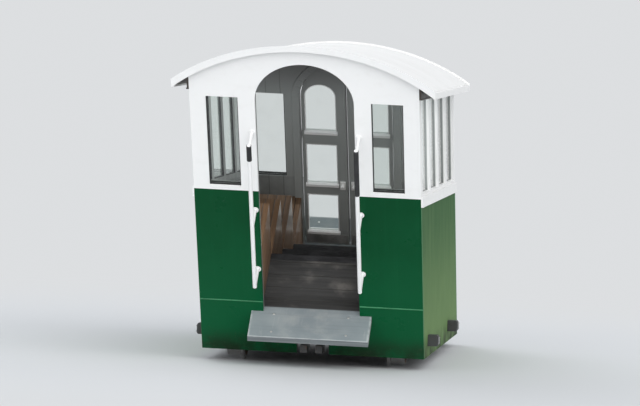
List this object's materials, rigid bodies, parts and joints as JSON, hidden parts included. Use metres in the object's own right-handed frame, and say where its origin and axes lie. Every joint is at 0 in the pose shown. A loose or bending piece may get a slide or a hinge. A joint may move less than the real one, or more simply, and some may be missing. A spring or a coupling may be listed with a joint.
{
  "type": "funicular car",
  "caption": "Small leaning-body funicular car with an arched open end, glazed sides, barrel roof, stepped floor with benches, hinged rear doors and free flanged wheelsets.",
  "frame": {"origin": "on the track's centre line, in the plane of the rail tops, midway between the two axles", "axes": "+X across the track, +Y down the slope along the rails, +Z square to the rails; the body's posts are plumb when the track is laid at 39 degrees, so here they lean towards -Y"},
  "size_m": [1.512, 4.1382, 1.9078],
  "materials": {
    "white_paint": "gloss paint",
    "green_paint": "gloss paint",
    "roof_paint": "satin paint",
    "white_steel": "gloss",
    "black_rubber": "matt",
    "grey_board": "worn paint",
    "floor_wood": "matt",
    "bench_wood": "varnished",
    "frame_steel": "satin",
    "cast_iron": "rough",
    "wheel_steel": "worn",
    "black_fittings": "satin",
    "window_glass": "clear"
  },
  "bodies": {
    "car": {"axle_boxes": "cast_iron", "bench_fronts_left": "bench_wood", "bench_fronts_right": "bench_wood", "bench_seats_left": "bench_wood", "bench_seats_right": "bench_wood", "door_casing": "white_paint", "end_apron_downhill": "green_paint", "end_apron_uphill": "green_paint", "end_lower_downhill": "green_paint", "end_lower_uphill": "green_paint", "end_upper_downhill": "white_paint", "end_upper_uphill": "white_paint", "floor_risers": "floor_wood", "floor_stringers": "floor_wood", "floor_treads": "floor_wood", "frame_beams": "frame_steel", "frame_crossmembers": "frame_steel", "grab_bar_arms": "white_steel", "grab_bar_grips": "black_rubber", "grab_bars": "white_steel", "hinge_pins": "black_fittings", "roof_eaves_trim": "white_paint", "roof_end_trim": "white_paint", "roof_ribs": "white_paint", "roof_shell": "roof_paint", "rope_lugs": "frame_steel", "side_frame_left": "white_paint", "side_frame_right": "white_paint", "side_panel_left": "green_paint", "side_panel_right": "green_paint", "sill_band_left": "white_paint", "sill_band_right": "white_paint", "step_board_downhill": "grey_board", "step_board_uphill": "grey_board", "step_brackets_downhill": "frame_steel", "step_brackets_uphill": "frame_steel", "window_panes_downhill": "window_glass", "window_panes_left": "window_glass", "window_panes_right": "window_glass", "window_panes_uphill": "window_glass"},
    "wheelset_uphill": {"axle_uphill": "wheel_steel", "wheels_uphill": "wheel_steel"},
    "wheelset_downhill": {"axle_downhill": "wheel_steel", "wheels_downhill": "wheel_steel"},
    "door_left": {"door_left": "white_paint", "door_panes_left": "window_glass", "door_fittings_left": "black_fittings"},
    "door_right": {"door_right": "white_paint", "door_panes_right": "window_glass", "door_fittings_right": "black_fittings"}
  },
  "joints": [
    {"name": "wheelset_uphill_spin", "type": "hinge", "parent": "car", "child": "wheelset_uphill", "pos_m": [0, -0.76, 0.15], "axis": [1, 0, 0], "continuous": true},
    {"name": "wheelset_downhill_spin", "type": "hinge", "parent": "car", "child": "wheelset_downhill", "pos_m": [0, 0.76, 0.15], "axis": [1, 0, 0], "continuous": true},
    {"name": "door_left_hinge", "type": "hinge", "parent": "car", "child": "door_left", "pos_m": [-0.291, 0.75551, 1.08087], "axis": [0, -0.6293, 0.7771], "range_deg": [0, 100]},
    {"name": "door_right_hinge", "type": "hinge", "parent": "car", "child": "door_right", "pos_m": [0.291, 0.75551, 1.08087], "axis": [0, 0.6293, -0.7771], "range_deg": [0, 100]}
  ]
}
